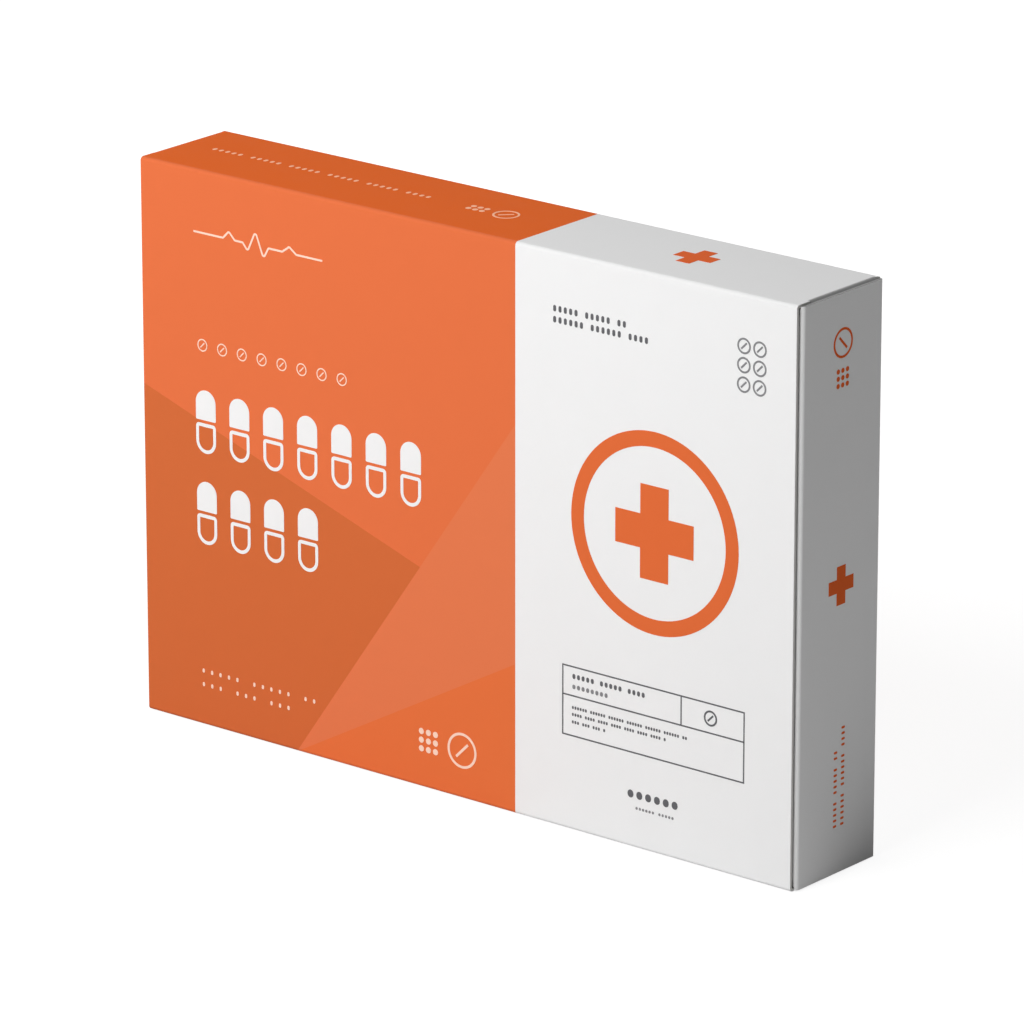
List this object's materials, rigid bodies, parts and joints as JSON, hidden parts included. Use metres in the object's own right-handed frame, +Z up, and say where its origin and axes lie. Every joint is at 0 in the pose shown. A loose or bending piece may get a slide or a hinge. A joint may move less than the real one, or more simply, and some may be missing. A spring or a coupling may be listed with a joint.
{
  "type": "pill packaging box",
  "caption": "Flat upright folding carton for tablets, with hinged tuck-in end flaps, and blister sheets and a folded leaflet inside.",
  "frame": {"origin": "middle of the underside of the floor panel, which is the long narrow side that the box stands on", "axes": "+Z up, +X along the front panel towards the right end flap, +Y from the front panel to the back panel"},
  "size_m": [0.128, 0.02, 0.09],
  "materials": {
    "printed_card": "coated white card, satin print",
    "blister_film": "white opaque film, glossy",
    "leaflet_paper": "thin uncoated paper"
  },
  "bodies": {
    "box": {"carton": "printed_card", "front_blister_sheet": "blister_film", "rear_blister_sheet": "blister_film", "leaflet": "leaflet_paper"},
    "right_flap": {"right_end_flap": "printed_card"},
    "right_tab": {"right_tuck_tab": "printed_card"},
    "left_flap": {"left_end_flap": "printed_card"},
    "left_tab": {"left_tuck_tab": "printed_card"}
  },
  "joints": [
    {"name": "right_flap_hinge", "type": "hinge", "parent": "box", "child": "right_flap", "pos_m": [0.06382, 0.00982, 0.045], "axis": [0, 0, 1], "range_deg": [0, 110]},
    {"name": "right_tab_fold", "type": "hinge", "parent": "right_flap", "child": "right_tab", "pos_m": [0.06345, -0.00865, 0.045], "axis": [0, 0, 1], "range_deg": [-77, 0]},
    {"name": "left_flap_hinge", "type": "hinge", "parent": "box", "child": "left_flap", "pos_m": [-0.06382, 0.00982, 0.045], "axis": [0, 0, -1], "range_deg": [0, 110]},
    {"name": "left_tab_fold", "type": "hinge", "parent": "left_flap", "child": "left_tab", "pos_m": [-0.06345, -0.00865, 0.045], "axis": [0, 0, -1], "range_deg": [-77, 0]}
  ],
  "couplings": [
    {"joint": "right_tab_fold", "follows": "right_flap_hinge", "ratio": -0.7},
    {"joint": "left_tab_fold", "follows": "left_flap_hinge", "ratio": -0.7}
  ]
}
